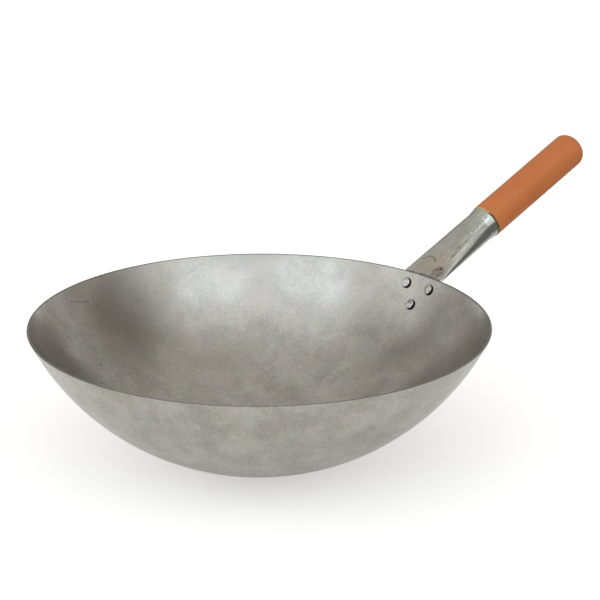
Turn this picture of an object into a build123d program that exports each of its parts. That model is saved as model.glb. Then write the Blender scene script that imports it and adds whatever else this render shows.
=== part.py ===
from build123d import *
import os
from math import acos, cos, degrees, pi, radians, sin, sqrt

# A round-bottomed wok pressed from one steel sheet, with one long handle riveted on.
# The origin is the lowest point of the bowl's outside, +Z is up and the handle points along +X.
# Lengths are in millimetres and angles in degrees.

# Bowl: a cap of a sphere with an even wall, trimmed level at the rim
rim_diameter = 356.0
bowl_depth = 111.0
bowl_wall = 1.5
rim_edge_round = 0.3

# Handle socket: a steel tube, flared at its mouth and pressed flat at its root
handle_slope = 23.0
socket_length = 77.4
tube_diameter = 26.5
socket_sheet = 1.2
mouth_diameter = 28.2
mouth_flare_length = 9.0
mouth_edge_round = 0.4
round_section_straight = 0.3
root_flat_length = 4.0
root_rise = 0.3
pinch_gap = 0.4
tongue_edge_round = 0.8
wall_clearance = 0.1

# Rivets: two side by side under the rim and one below them, each square to the wall
shank_diameter = 4.8
shank_clearance = 0.1
rivet_edge_margin = 7.5
upper_rivet_drop = 9.9
lower_rivet_drop = 26.1
tongue_end_margin = 8.4
head_diameter = 8.0
head_height = 1.5
head_crown = 0.3
head_edge_round = 0.5
formed_head_diameter = 8.4
formed_head_height = 2.0
head_clearance = 0.02

# Grip: a turned wooden rod with a tapered tenon driven into the socket
grip_diameter = 28.9
grip_length = 117.8
grip_end_depth = 10.5
shoulder_gap = 0.3
shoulder_round = 0.8
tenon_length = 38.0
tenon_clearance = 0.15

# Nail that keeps the grip in the socket, on the underside
nail_setback = 5.0
nail_diameter = 2.0
nail_length = 12.0
nail_head_diameter = 5.0
nail_head_height = 0.8
nail_head_round = 0.3
nail_clearance = 0.05

# How far a cutting or joining body runs past the face that it meets
overrun = 5.0

# Bowl sphere
rim_radius = rim_diameter / 2
sphere_radius = (rim_radius**2 + bowl_depth**2) / (2 * bowl_depth)
inner_radius = sphere_radius - bowl_wall
centre = Vector(0, 0, sphere_radius)
outer_rim_angle = degrees(acos((sphere_radius - bowl_depth) / sphere_radius))
inner_rim_angle = degrees(acos((sphere_radius - bowl_depth) / inner_radius))

# Handle axis: it starts in the middle of the pressed flat, at the rim's outer edge
handle_way = Vector(cos(radians(handle_slope)), 0, sin(radians(handle_slope)))
handle_up = Vector(-sin(radians(handle_slope)), 0, cos(radians(handle_slope)))
root_top_point = Vector(rim_radius, 0, bowl_depth) + handle_up * root_rise
handle_root = root_top_point - handle_up * socket_sheet
handle_plane = Plane(origin=handle_root, x_dir=(0, 1, 0), z_dir=handle_way)
handle_section = Plane(origin=handle_root, x_dir=handle_way, z_dir=(0, -1, 0))
handle_axis = Axis(handle_root, handle_way)
root_top = Plane(origin=root_top_point, x_dir=(0, 1, 0), z_dir=handle_up)

# The pressed flat is two sheets thick, and the tube keeps its girth all the way
root_thickness = 2 * socket_sheet
root_straight = pi * (tube_diameter - root_thickness) / 2 + round_section_straight
root_width = root_straight + root_thickness
tube_end = socket_length - mouth_flare_length
taper_share = (tube_diameter - root_thickness) / (tube_end - root_flat_length)
flare_share = (mouth_diameter - tube_diameter) / mouth_flare_length

# Tongue: the flat's end, bent down onto the outside of the wall
tongue_inner_radius = sphere_radius + wall_clearance
tongue_outer_radius = tongue_inner_radius + root_thickness
tongue_length = lower_rivet_drop + tongue_end_margin

# Rivet places: how far each stands to the side, and how far down the wall from the rim
rivet_side = root_width / 2 - rivet_edge_margin
rivet_places = {
    "rivet_upper_left": (rivet_side, upper_rivet_drop),
    "rivet_upper_right": (-rivet_side, upper_rivet_drop),
    "rivet_lower": (0, lower_rivet_drop),
}


def wall_plane(side, drop):
    """Plane square to the wall at a place under the rim: origin at the sphere's centre,
    its Z outwards through the wall and its X along the rim."""
    polar = radians(outer_rim_angle) - drop / sphere_radius
    reach = sqrt((sphere_radius * sin(polar)) ** 2 - side**2)
    outwards = Vector(reach, side, -sphere_radius * cos(polar)).normalized()
    sideways = Vector(0, 0, 1).cross(outwards).normalized()
    return Plane(origin=centre, x_dir=sideways, z_dir=outwards)


def tube_height(station):
    """Height of the tube's outside at a distance from its root along the handle."""
    if station > tube_end:
        return tube_diameter + flare_share * (station - tube_end)
    return root_thickness + taper_share * max(station - root_flat_length, 0)


def tube_between(start, end, inset):
    """Stretch of the tube between two distances from its root, less an inset all round.
    Its section is a slot that keeps the tube's girth until it is round."""
    with BuildPart() as stretch:
        for station in (start, end):
            height = tube_height(station)
            straight = max(pi * (tube_diameter - height) / 2, 0) + round_section_straight
            with BuildSketch(handle_plane.offset(station)):
                SlotOverall(straight + height - 2 * inset, height - 2 * inset)
        loft(ruled=True)
    return stretch.part


os.makedirs("parts", exist_ok=True)

# Bowl
with BuildPart() as bowl:
    with BuildSketch(Plane.XZ):
        with BuildLine():
            outside = CenterArc((0, sphere_radius), sphere_radius, -90, outer_rim_angle)
            inside = CenterArc((0, sphere_radius), inner_radius, -90, inner_rim_angle)
            Line(outside @ 1, inside @ 1)
            Line(outside @ 0, inside @ 0)
        make_face()
    revolve(axis=Axis.Z)
    fillet(bowl.faces().filter_by(Plane.XY).sort_by(Axis.Z)[-1].edges(), rim_edge_round)
    for side, drop in rivet_places.values():
        with BuildSketch(wall_plane(side, drop).offset(inner_radius - overrun)):
            Circle(shank_diameter / 2 + shank_clearance)
        extrude(amount=bowl_wall + 2 * overrun, mode=Mode.SUBTRACT)
bowl.part.label = "bowl"
export_step(bowl.part, "parts/bowl.step")

# Handle socket: tongue, pressed flat and tube in one piece of steel
tongue_middle = wall_plane(0, tongue_length - root_width / 2)
flat_outside = tube_between(-overrun, root_flat_length, 0)
taper_outside = tube_between(root_flat_length, tube_end, 0)
flare_outside = tube_between(tube_end, socket_length, 0)
cavity_start = root_flat_length + pinch_gap / taper_share
taper_inside = tube_between(cavity_start, tube_end, socket_sheet)
flare_inside = tube_between(tube_end, socket_length, socket_sheet)
nail_station = socket_length - nail_setback
nail_root = handle_root + handle_way * nail_station
nail_plane = Plane(origin=nail_root, x_dir=(0, 1, 0), z_dir=handle_up * -1)
with BuildPart() as handle_socket:
    with BuildSketch(Plane.XZ):
        with BuildLine():
            near = CenterArc((0, sphere_radius), tongue_inner_radius, -90, 90)
            far = CenterArc((0, sphere_radius), tongue_outer_radius, -90, 90)
            Line(near @ 0, far @ 0)
            Line(near @ 1, far @ 1)
        make_face()
    revolve(axis=Axis.Z)
    with BuildSketch(tongue_middle):
        Circle(root_width / 2)
        with Locations((0, tongue_length / 2)):
            Rectangle(root_width, tongue_length)
    extrude(amount=sphere_radius + tongue_length, mode=Mode.INTERSECT)
    split(bisect_by=root_top, keep=Keep.BOTTOM)
    far_face = handle_socket.faces().filter_by(GeomType.SPHERE).sort_by(SortBy.AREA)[-1]
    fillet(far_face.edges().sort_by(Axis.Z)[:-1], tongue_edge_round)
    add(flat_outside)
    with Locations(centre):
        Sphere(tongue_inner_radius, mode=Mode.SUBTRACT)
    add(taper_outside)
    add(flare_outside)
    add(taper_inside, mode=Mode.SUBTRACT)
    add(flare_inside, mode=Mode.SUBTRACT)
    fillet(handle_socket.faces().sort_by(handle_axis)[-1].edges(), mouth_edge_round)
    for side, drop in rivet_places.values():
        with BuildSketch(wall_plane(side, drop).offset(inner_radius)):
            Circle(shank_diameter / 2 + shank_clearance)
        extrude(amount=bowl_wall + root_thickness + overrun, mode=Mode.SUBTRACT)
    with BuildSketch(nail_plane):
        Circle(nail_diameter / 2 + nail_clearance)
    extrude(amount=mouth_diameter, mode=Mode.SUBTRACT)
handle_socket.part.label = "handle_socket"
export_step(handle_socket.part, "parts/handle_socket.step")

# Rivets: a flat head inside the bowl, and a formed head on the tongue
shank_radius = shank_diameter / 2
head_radius = head_diameter / 2
formed_radius = formed_head_diameter / 2
head_seat = inner_radius - head_clearance
formed_seat = tongue_outer_radius + head_clearance
head_top = inner_radius - head_height
dome_top = (0, tongue_outer_radius + formed_head_height)
for name, (side, drop) in rivet_places.items():
    through_wall = wall_plane(side, drop)
    rivet_section = Plane(origin=centre, x_dir=through_wall.x_dir, z_dir=through_wall.y_dir * -1)
    with BuildPart() as rivet:
        with BuildSketch(rivet_section):
            with BuildLine():
                crown_end = (head_radius - head_edge_round, head_top)
                edge_end = (head_radius, head_top + head_edge_round)
                crown = TangentArc((0, head_top - head_crown), crown_end, tangent=(1, 0))
                edge = TangentArc(crown_end, edge_end, tangent=(1, 0))
                shaft = Polyline(
                    edge_end,
                    (head_radius, sqrt(head_seat**2 - head_radius**2)),
                    (shank_radius, sqrt(head_seat**2 - shank_radius**2)),
                    (shank_radius, sqrt(formed_seat**2 - shank_radius**2)),
                    (formed_radius, sqrt(formed_seat**2 - formed_radius**2)),
                )
                TangentArc(dome_top, shaft @ 1, tangent=(1, 0))
                Line(crown @ 0, dome_top)
            make_face()
        revolve(axis=Axis(centre, through_wall.z_dir))
    rivet.part.label = name
    export_step(rivet.part, f"parts/{name}.step")

# Grip: its tenon follows the flattened bore, and its shoulder meets the mouth
tenon_start = socket_length - tenon_length
tenon_tip_radius = tube_height(tenon_start) / 2 - socket_sheet - tenon_clearance
tenon_radius = tube_height(tube_end) / 2 - socket_sheet - tenon_clearance
shoulder_start = socket_length + shoulder_gap
grip_radius = grip_diameter / 2
grip_end = socket_length + grip_length
with BuildPart() as grip:
    with BuildSketch(handle_section):
        with BuildLine():
            stem = Polyline(
                (tenon_start, 0),
                (tenon_start, tenon_tip_radius),
                (tube_end, tenon_radius),
                (shoulder_start, tenon_radius),
                (shoulder_start, grip_radius - shoulder_round),
            )
            corner = TangentArc(stem @ 1, (shoulder_start + shoulder_round, grip_radius), tangent=(0, 1))
            dome = EllipticalCenterArc((grip_end - grip_end_depth, 0), grip_end_depth, grip_radius)
            Line(corner @ 1, dome @ 1)
            Line(dome @ 0, stem @ 0)
        make_face()
    revolve(axis=handle_axis)
    with BuildSketch(nail_plane):
        Circle(nail_diameter / 2 + nail_clearance)
    extrude(amount=mouth_diameter, mode=Mode.SUBTRACT)
grip.part.label = "grip"
export_step(grip.part, "parts/grip.step")

# Grip nail: its head lies on the flared tube, and its shank ends in the tenon
nail_seat_radius = tube_height(nail_station) / 2
with BuildPart() as grip_nail:
    with BuildSketch(nail_plane.offset(nail_seat_radius - socket_sheet)):
        Circle(nail_head_diameter / 2)
    extrude(amount=socket_sheet + nail_head_height)
    fillet(grip_nail.faces().sort_by(Axis(nail_root, nail_plane.z_dir))[-1].edges(), nail_head_round)
    add(flare_outside, mode=Mode.SUBTRACT)
    with BuildSketch(nail_plane.offset(nail_seat_radius - nail_length)):
        Circle(nail_diameter / 2)
    extrude(amount=nail_length)
grip_nail.part.label = "grip_nail"
export_step(grip_nail.part, "parts/grip_nail.step")
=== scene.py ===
import math

import bpy
import numpy as np
from bpy.props import FloatProperty, FloatVectorProperty, PointerProperty
from bpy.types import Operator, Panel, PropertyGroup
from mathutils import Matrix


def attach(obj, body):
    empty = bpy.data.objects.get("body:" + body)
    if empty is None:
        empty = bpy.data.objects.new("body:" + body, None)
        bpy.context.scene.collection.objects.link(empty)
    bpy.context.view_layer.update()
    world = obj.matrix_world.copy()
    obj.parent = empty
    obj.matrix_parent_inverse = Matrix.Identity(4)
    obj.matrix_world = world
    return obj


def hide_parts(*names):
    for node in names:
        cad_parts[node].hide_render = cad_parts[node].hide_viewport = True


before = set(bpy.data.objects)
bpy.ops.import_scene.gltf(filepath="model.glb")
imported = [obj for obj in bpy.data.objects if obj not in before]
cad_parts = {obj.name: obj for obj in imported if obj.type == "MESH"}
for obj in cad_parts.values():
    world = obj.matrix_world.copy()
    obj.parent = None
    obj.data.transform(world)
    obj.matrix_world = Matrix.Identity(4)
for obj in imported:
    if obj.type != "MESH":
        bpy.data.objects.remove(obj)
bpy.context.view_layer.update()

bl_info = {
    "name": "Round-bottomed wok",
    "version": (1, 0, 0),
    "blender": (4, 5, 0),
    "location": "3D View > Sidebar > Wok",
    "description": "Dresses the packed frame of a carbon steel wok and lights it on a white floor",
    "category": "Object",
}

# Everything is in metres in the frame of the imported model: Z up from the bowl's lowest point,
# and X along the handle.
BODY = "root"
TURN = 2 * math.pi
ORIGIN = (0.0, 0.0, 0.0)


# Properties


def length(name, description, default):
    """Length property in metres."""
    return FloatProperty(name=name, description=description, default=default, min=0.0,
                         precision=5, subtype="DISTANCE", unit="LENGTH")


def angle(name, description, degrees):
    """Angle property, given in degrees and kept in radians."""
    return FloatProperty(name=name, description=description, default=math.radians(degrees),
                         subtype="ANGLE", unit="ROTATION")


def share(name, description, default):
    """Plain number from 0 to 1."""
    return FloatProperty(name=name, description=description, default=default, min=0.0, max=1.0,
                         subtype="FACTOR")


def amount(name, description, default):
    """Plain number of zero or more."""
    return FloatProperty(name=name, description=description, default=default, min=0.0)


def colour(name, description, default):
    """Colour property, as linear red, green and blue."""
    return FloatVectorProperty(name=name, description=description, default=default, size=3,
                               min=0.0, max=1.0, subtype="COLOR")


class WokBowlSizes(PropertyGroup):
    """Sizes of the pressed bowl."""

    rim_diameter: length("Rim diameter", "Across the bowl's outside at its rim", 0.356)
    depth: length("Depth", "From the lowest point of the outside up to the rim", 0.111)
    wall: length("Wall", "Thickness of the steel sheet", 0.0015)
    edge_round: length("Edge round", "How far the rim's corners are rounded off", 0.0003)
    unevenness: length("Unevenness", "How deep the sheet's shallow waves go", 0.00022)


class WokHandleSizes(PropertyGroup):
    """Sizes of the steel socket that holds the grip."""

    slope: angle("Slope", "Rise of the handle above the level", 23.0)
    socket_length: length("Socket length", "From the pressed flat's root to the mouth", 0.0774)
    tube_diameter: length("Tube diameter", "Outside of the tube before its flare", 0.0265)
    sheet: length("Sheet", "Thickness of the tube's steel", 0.0012)
    mouth_diameter: length("Mouth diameter", "Outside of the flared mouth", 0.0282)
    flare_length: length("Flare length", "Stretch over which the mouth opens", 0.009)
    flare_ease: length("Flare ease", "Stretch each way over which the flare sets in", 0.004)
    lip_round: length("Lip round", "How far the mouth's edge is rounded back", 0.0004)
    straight: length("Straight", "Straight run left in the tube's round section", 0.0003)
    flat_length: length("Flat length", "Stretch over which the root stays flat", 0.004)
    root_rise: length("Root rise", "Height of the flat's top above the rim's edge", 0.0003)
    pinch_gap: length("Pinch gap", "Gap between the two sheets where the hollow starts", 0.0004)
    bend_reach: length("Bend reach", "How far the bend over the rim runs each way", 0.0022)
    wall_clearance: length("Wall clearance", "Gap between the tongue and the bowl", 0.0001)
    tongue_reach: length("Tongue reach", "How far down the wall the tongue goes", 0.0345)
    crease_depth: length("Crease depth", "How deep the press left its arched mark", 0.00022)
    burr_height: length("Burr height", "Height of the small burr at the root's corner", 0.0005)


class WokRivetSizes(PropertyGroup):
    """Sizes and places of the three rivets."""

    side: length("Side", "How far the two upper rivets stand to each side", 0.01278)
    upper_drop: length("Upper drop", "From the rim down the wall to the upper rivets", 0.0099)
    lower_drop: length("Lower drop", "From the rim down the wall to the lower rivet", 0.0261)
    shank_diameter: length("Shank diameter", "Across the rivet's shank", 0.0048)
    head_diameter: length("Head diameter", "Across the flat head inside the bowl", 0.008)
    head_height: length("Head height", "Height of the flat head above the wall", 0.0015)
    head_crown: length("Head crown", "How much of that height is the head's crown", 0.0003)
    head_round: length("Head round", "Rounding of the flat head's edge", 0.0005)
    formed_diameter: length("Formed diameter", "Across the domed head on the tongue", 0.0084)
    formed_height: length("Formed height", "Height of the domed head", 0.002)
    seat_gap: length("Seat gap", "Gap under each head", 0.00002)


class WokGripSizes(PropertyGroup):
    """Sizes of the turned grip and of the nail that keeps it in the socket."""

    diameter: length("Diameter", "Across the grip", 0.0289)
    length: length("Length", "From the socket's mouth to the rounded end", 0.11778)
    end_depth: length("End depth", "How far the rounded end bulges past the rod", 0.0105)
    shoulder_gap: length("Shoulder gap", "Gap between the mouth and the grip's shoulder", 0.0001)
    shoulder_round: length("Shoulder round", "Rounding of the shoulder's edge", 0.0005)
    tenon_length: length("Tenon length", "How far the tenon goes into the socket", 0.038)
    tenon_clearance: length("Tenon clearance", "Gap between the tenon and the bore", 0.00015)
    nail_setback: length("Nail setback", "From the mouth back to the nail", 0.005)
    nail_diameter: length("Nail diameter", "Across the nail's shank", 0.002)
    nail_length: length("Nail length", "How deep the nail goes in from the outside", 0.012)
    nail_head_diameter: length("Nail head diameter", "Across the nail's head", 0.005)
    nail_head_height: length("Nail head height", "Height of the nail's head", 0.0008)


class WokFinishes(PropertyGroup):
    """Colours and gloss of the finishes."""

    steel_light: colour("Light steel", "Clean places of the bowl", (0.552, 0.534, 0.498))
    steel_dark: colour("Dark steel", "Duller places of the bowl", (0.339, 0.320, 0.290))
    socket_light: colour("Light socket", "Clean places of the socket", (0.614, 0.624, 0.574))
    socket_dark: colour("Dark socket", "Duller places of the socket", (0.482, 0.489, 0.444))
    steel_stain: colour("Steel stain", "Faint brown cast of raw steel", (0.385, 0.335, 0.275))
    # This bright colour serves both rubbed bright wear and the painted highlight on the socket's
    # lip
    steel_edge: colour("Worn edge", "Steel rubbed bright along edges", (0.62, 0.615, 0.60))
    steel_gloss: share("Steel roughness", "Roughness of the raw sheet", 0.23)
    rivet_light: colour("Rivet", "Steel of the rivets and the nail", (0.58, 0.58, 0.57))
    # This dark colour serves both real dirt in scratches, pits and joints and painted shade in
    # corners, creases and gaps
    grime: colour("Grime", "Dark dirt in gaps and pits", (0.035, 0.028, 0.022))
    paint: colour("Grip paint", "Orange-brown satin coat of the grip", (0.582, 0.172, 0.037))
    paint_dark: colour("Dark grip paint", "Deeper streaks in that coat", (0.51, 0.138, 0.028))
    bare_wood: colour("Bare wood", "Pale wood where the coat is chipped", (0.66, 0.47, 0.20))


class WokStudio(PropertyGroup):
    """Camera and light."""

    camera_distance: length("Camera distance", "From the middle of the rim", 2.136)
    camera_azimuth: angle("Camera azimuth", "Turn of the view about Z from the Y axis", -42.05)
    camera_elevation: angle("Camera elevation", "Height of the camera above the rim", 19.14)
    camera_roll: angle("Camera roll", "Clockwise roll of the camera", 0.26)
    camera_lens: amount("Lens", "Focal length in millimetres on a 36 mm frame", 167.28)
    aim_right: length("Aim right", "Aim to the right of the rim's middle", 0.0310)
    aim_up: length("Aim up", "Aim above the rim's middle", 0.0184)
    room: amount("Room", "Brightness of the room between its patches", 0.535)
    floor_glow: amount("Floor glow", "What lifts the floor to white for the eye", 0.46)
    gloss_glow: amount("Gloss glow", "What the floor's glow adds in gloss and glass", 0.235)
    shade_start: length("Shade start", "Where the floor starts to darken in gloss", 0.25)
    shade_end: length("Shade end", "Where the floor is dark in gloss", 0.46)
    dark_side: share("Dark side", "Brightness of the dark side in gloss", 0.19)


class WokSettings(PropertyGroup):
    """All settings of the wok."""

    bowl: PointerProperty(type=WokBowlSizes)
    handle: PointerProperty(type=WokHandleSizes)
    rivets: PointerProperty(type=WokRivetSizes)
    grip: PointerProperty(type=WokGripSizes)
    finishes: PointerProperty(type=WokFinishes)
    studio: PointerProperty(type=WokStudio)


# Shapes


# Points round a ring of each surface
BOWL_ROUND = 256
SOCKET_ROUND = 200
RIVET_ROUND = 64
GRIP_ROUND = 128
NAIL_ROUND = 40
# Rings up each side of the bowl's wall
BOWL_ROWS = 84
# On the socket's sheet, along and across the handle: middle of the arched press mark, the
# distances from it over which the sheet steps down, and the place and size of the burr
MARK_MIDDLE = (0.0121, 0.0061)
MARK_STEP = (0.0062, 0.0072)
BURR_MIDDLE = (0.0032, 0.0188)
BURR_SIZE = 0.0011
DENT_DEPTH = 0.00005
DENT_WAVE = 0.011
THINNEST = 1e-5
# Runs of rings along the socket's outside, from the tongue's end to the lip, the end of the
# fine run, and the rings along its inside
SOCKET_RUNS = (40, 15, 64, 40, 16)
FINE_END = 0.026
INSIDE_ROWS = 44
# Stretch over which the slices' places even out past the bend
EVEN_OUT = 0.03
# Where the bowl's waves die out: heights under the rim, distances from the handle's root,
# and the distance from the middle; and the lengths of the waves
CALM_RIM = (0.012, 0.001)
CALM_ROOT = (0.035, 0.075)
CALM_MIDDLE = 0.03
LONG_WAVE = 0.075
SHORT_WAVE = 0.034
# Marks of the lathe on the grip: their length, their slow change along the rod, their depth
# as a share of the radius, and where they set in after the shoulder
LATHE_WAVE = 0.031
LATHE_CHANGE = 83
LATHE_DEPTH = 0.0035
LATHE_START = (0.004, 0.012)


def new_object(name, data):
    """Object of the scene for a mesh or a camera."""
    piece = bpy.data.objects.new(name, data)
    bpy.context.scene.collection.objects.link(piece)
    return piece


def surface(name, rows, first, last):
    """Mesh object from a grid of points, rows by columns by three, whose columns close into
    rings. Two single points close the first and the last ring with fans of triangles. If the
    enclosed volume comes out negative, all faces are turned round, so that they point
    outwards."""
    count, around = rows.shape[:2]
    ring = np.arange(count * around).reshape(count, around)
    beside = np.roll(ring, -1, axis=1)
    quads = np.stack((ring[:-1], beside[:-1], beside[1:], ring[1:]), axis=-1).reshape(-1, 4)
    pole = np.full(around, ring.size)
    fans = np.concatenate((np.stack((pole, beside[0], ring[0]), axis=-1),
                           np.stack((ring[-1], beside[-1], pole + 1), axis=-1)))
    points = np.concatenate((rows.reshape(-1, 3), (first, last)))
    corner = points[np.concatenate((quads[:, :3], quads[:, [0, 2, 3]], fans))]
    volume = (corner[:, 0] * np.cross(corner[:, 1], corner[:, 2])).sum()
    way = -1 if volume < 0 else 1
    mesh = bpy.data.meshes.new(name)
    mesh.from_pydata(points, [], [*quads[:, ::way].tolist(), *fans[:, ::way].tolist()], False)
    mesh.validate()
    return new_object(name, mesh)


def keep_place(piece, name, values):
    """Stores one vector for each point, for the finish to read."""
    points = piece.data.attributes.new(name, "FLOAT_VECTOR", "POINT")
    points.data.foreach_set("vector", values.astype(np.float32).ravel())


def dress(piece, material, slot, *nodes):
    """Gives a piece its finish and its body, and hides the frame's nodes that it stands for. The
    slot is not used.
    """
    piece.data.materials.append(material)
    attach(piece, BODY)
    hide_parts(*nodes)


def unit(vectors):
    """Vectors at length 1."""
    return vectors / np.linalg.norm(vectors, axis=-1, keepdims=True)


def smooth(value, low, high):
    """Goes from 0 at low to 1 at high along a smooth S, 3 t squared less 2 t cubed."""
    t = np.clip((value - low) / (high - low), 0, 1)
    return t * t * (3 - 2 * t)


def chord(radius, off):
    """Half the chord of a circle at a distance from its middle: the root of the difference of
    their squares, and 0 outside the circle."""
    return np.sqrt(np.maximum(radius ** 2 - off ** 2, 0))


def quarter(steps):
    """Angles of a quarter turn in even steps."""
    return np.linspace(0, math.pi / 2, steps + 1)


def pairs(radius, distance):
    """Profile points from their radii and their distances along the axis."""
    return np.stack(np.broadcast_arrays(radius, distance), axis=-1)


def round_edge(radius, distance, size):
    """Quarter circle of a disc's edge, from its face at this distance to its side."""
    turn = quarter(8)[1:]
    return pairs(radius - size * (1 - np.sin(turn)), distance + size * (1 - np.cos(turn)))


def turned(profile, origin, axes, around, wobble=None):
    """Surface of revolution and its two poles. The profile is an array of radius and distance
    along the last axis. Its ends are the poles, and each other point goes round in a circle
    in the plane of the first two axes. A wobble is a function of radius, distance and turn
    that gives a factor for the radius."""
    across, beside, along = axes
    turn = (np.arange(around) + 0.5) * TURN / around
    radius, distance = profile[1:-1, :1], profile[1:-1, 1:]
    wide = radius * np.ones(around)
    if wobble is not None:
        wide = wide * wobble(radius, distance, turn)
    flat = wide[..., None] * (np.cos(turn)[:, None] * across + np.sin(turn)[:, None] * beside)
    rows = origin + flat + distance[..., None] * along
    return rows, origin + profile[0, 1] * along, origin + profile[-1, 1] * along


def rounded(corners, radius, steps):
    """Open outline whose inner corners are rounded to one radius. The arc starts and ends at
    the radius over the tangent of half the corner's angle from the corner, and is the
    weighted mean of its start, the corner and its end, with the sine of that half angle as
    the corner's weight."""
    arcs = [corners[:1]]
    step = np.linspace(0, 1, steps)[:, None]
    for before, here, after in zip(corners, corners[1:], corners[2:]):
        back, on = unit(before - here), unit(after - here)
        half = math.acos(back @ on) / 2
        reach = radius / math.tan(half)
        start, middle, end = (1 - step) ** 2, 2 * step * (1 - step) * math.sin(half), step ** 2
        arcs.append((start * (here + back * reach) + middle * here + end * (here + on * reach))
                    / (start + middle + end))
    return np.concatenate((*arcs, corners[-1:]))


def waves(points, wavelength, seed):
    """Shallow unevenness from -1 to 1: the mean of twelve sine waves of about one wavelength
    that run in fixed, evenly spread directions with fixed phases."""
    spin = np.random.default_rng(seed)
    way = unit(spin.normal(size=(12, 3)))
    pace = TURN / wavelength * spin.uniform(0.7, 1.4, size=12)
    phase = spin.uniform(0, TURN, size=12)
    return np.sin(points @ (way * pace[:, None]).T + phase).mean(axis=-1) * 2


class Bowl:
    """Measures that follow from the bowl's sizes: a cap of a sphere, trimmed level."""

    def __init__(self, sizes):
        self.rim = sizes.rim_diameter / 2
        self.depth = sizes.depth
        self.outer = (self.rim ** 2 + sizes.depth ** 2) / (2 * sizes.depth)
        self.inner = self.outer - sizes.wall
        self.centre = np.array((0.0, 0.0, self.outer))
        self.outer_rim = math.acos((self.outer - sizes.depth) / self.outer)
        self.inner_rim = math.acos((self.outer - sizes.depth) / self.inner)

    def on_sphere(self, radius, polar):
        """Distance from the axis and height at an angle up from the bowl's lowest point."""
        return pairs(radius * np.sin(polar), self.outer - radius * np.cos(polar))

    def wall_axes(self, side, drop):
        """Directions at a place under the rim: along the rim, up the wall and outwards."""
        polar = self.outer_rim - drop / self.outer
        reach = chord(self.outer * math.sin(polar), side)
        outwards = unit(np.array((reach, side, -self.outer * math.cos(polar))))
        sideways = unit(np.cross((0.0, 0.0, 1.0), outwards))
        return sideways, np.cross(outwards, sideways), outwards


class Handle:
    """Measures that follow from the handle's sizes: its axis, and the socket's section."""

    def __init__(self, settings):
        self.sizes = sizes = settings.handle
        self.bowl = bowl = Bowl(settings.bowl)
        rise, run = math.sin(sizes.slope), math.cos(sizes.slope)
        self.way = np.array((run, 0.0, rise))
        self.side = np.array((0.0, 1.0, 0.0))
        self.up = np.array((-rise, 0.0, run))
        self.root = np.array((bowl.rim, 0.0, bowl.depth))
        self.root += self.up * (sizes.root_rise - sizes.sheet)
        self.thickness = 2 * sizes.sheet
        self.tube_end = sizes.socket_length - sizes.flare_length
        girth = sizes.tube_diameter - self.thickness
        self.taper = girth / (self.tube_end - sizes.flat_length)
        self.root_width = math.pi * girth / 2 + sizes.straight + self.thickness

    def height(self, station):
        """Outside height of the socket at a distance along the handle: flat, then an even
        taper up to the tube, and then an even flare. The slope changes from the taper's to
        the flare's evenly over the ease, so the height there follows a parabola."""
        sizes = self.sizes
        flare = (sizes.mouth_diameter - sizes.tube_diameter) / sizes.flare_length
        taper = self.thickness + self.taper * np.maximum(station - sizes.flat_length, 0)
        past = station - self.tube_end
        ease = sizes.flare_ease
        eased = np.clip((past + ease) / (2 * ease), 0, 1) ** 2 * ease
        return taper + (flare - self.taper) * np.maximum(eased, past)

    def straight(self, height):
        """Straight run of the section that keeps the sheet's girth at this height."""
        spare = np.maximum(self.sizes.tube_diameter - height, 0)
        return math.pi * spare / 2 + self.sizes.straight


def bowl_rows(sizes):
    """Bowl: its profile runs from the pole of the inside up the inner sphere, over the rim's
    two rounded corners and down the outer sphere to the outer pole, and is turned about Z.
    Shallow waves then push both walls towards the sphere's centre, and die out at the rim
    and at the rivets."""
    bowl = Bowl(sizes)
    rim_zone = 2.5 * sizes.edge_round
    inner = np.linspace(0, bowl.inner_rim - rim_zone / bowl.inner, BOWL_ROWS + 1)
    outer = np.linspace(bowl.outer_rim - rim_zone / bowl.outer, 0, BOWL_ROWS + 1)
    up, down = bowl.on_sphere(bowl.inner, inner), bowl.on_sphere(bowl.outer, outer)
    corners = np.stack((up[-1], bowl.on_sphere(bowl.inner, bowl.inner_rim),
                        bowl.on_sphere(bowl.outer, bowl.outer_rim), down[0]))
    edge = rounded(corners, sizes.edge_round, 6)[1:-1]
    rows, first, last = turned(np.concatenate((up, edge, down)), np.zeros(3), np.eye(3),
                               BOWL_ROUND)
    outwards = unit(rows - bowl.centre)
    from_root = np.linalg.norm(rows - (bowl.rim, 0.0, bowl.depth), axis=-1)
    calm = 1 - smooth(rows[..., 2], bowl.depth - CALM_RIM[0], bowl.depth - CALM_RIM[1])
    calm = calm * smooth(from_root, *CALM_ROOT)
    calm = calm * smooth(np.hypot(rows[..., 0], rows[..., 1]), 0, CALM_MIDDLE)
    skin = outwards * bowl.outer
    wave = 0.5 * waves(skin, LONG_WAVE, 3) + 0.5 * waves(skin, SHORT_WAVE, 8)
    push = sizes.unevenness * calm * np.clip(0.5 + 0.5 * wave, 0, 1)
    return rows - outwards * push[..., None], first, last


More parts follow.
